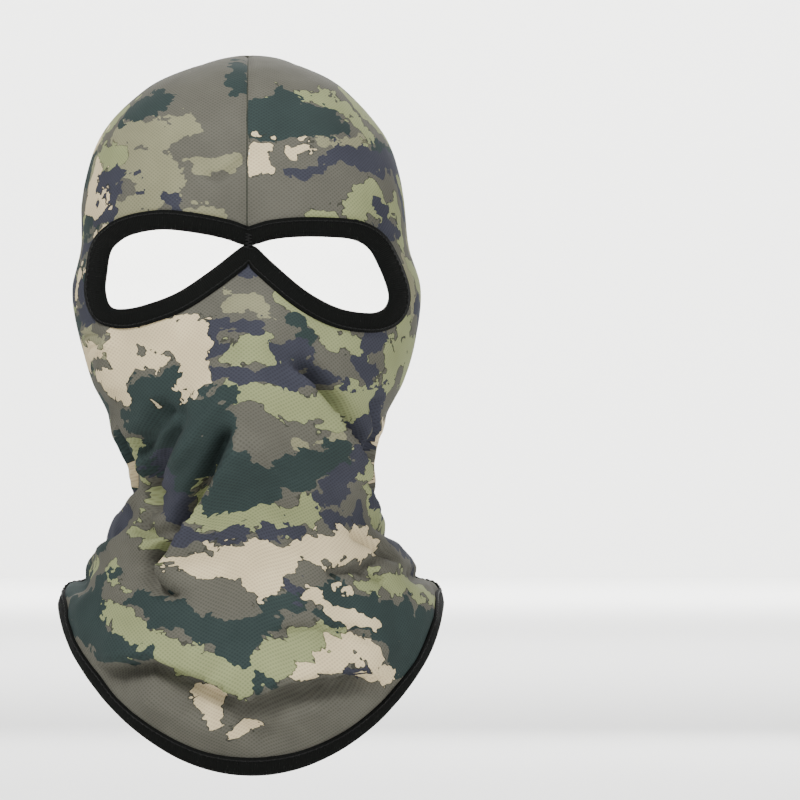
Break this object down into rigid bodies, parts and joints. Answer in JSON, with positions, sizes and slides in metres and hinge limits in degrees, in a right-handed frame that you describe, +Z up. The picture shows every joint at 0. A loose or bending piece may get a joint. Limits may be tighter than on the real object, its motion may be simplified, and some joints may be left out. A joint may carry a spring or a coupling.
{
  "type": "face mask",
  "caption": "Stretch-knit camouflage face mask: a full hood with two bound eye holes and a bib-shaped bound hem over the neck.",
  "frame": {"origin": "top of the crown on the middle line, where the wearer's head holds the mask up", "axes": "+X towards the wearer's left, the face looks along -Y, +Z up"},
  "size_m": [0.1984, 0.2262, 0.3585],
  "materials": {
    "printed_knit": "matte",
    "binding_tape": "matte",
    "sewing_thread": "satin",
    "overlock_thread": "satin"
  },
  "bodies": {
    "root": {"hood_panel": "printed_knit", "eye_binding": "binding_tape", "hem_binding": "binding_tape", "crown_seam_overlock_thread": "overlock_thread", "crown_seam_needle_thread": "overlock_thread", "eye_binding_needle_thread": "sewing_thread", "eye_binding_bobbin_thread": "sewing_thread", "hem_binding_needle_thread": "sewing_thread", "hem_binding_bobbin_thread": "sewing_thread", "nose_bridge_tack": "sewing_thread", "brow_join_tack": "sewing_thread", "hem_join_tack": "sewing_thread"}
  },
  "joints": []
}
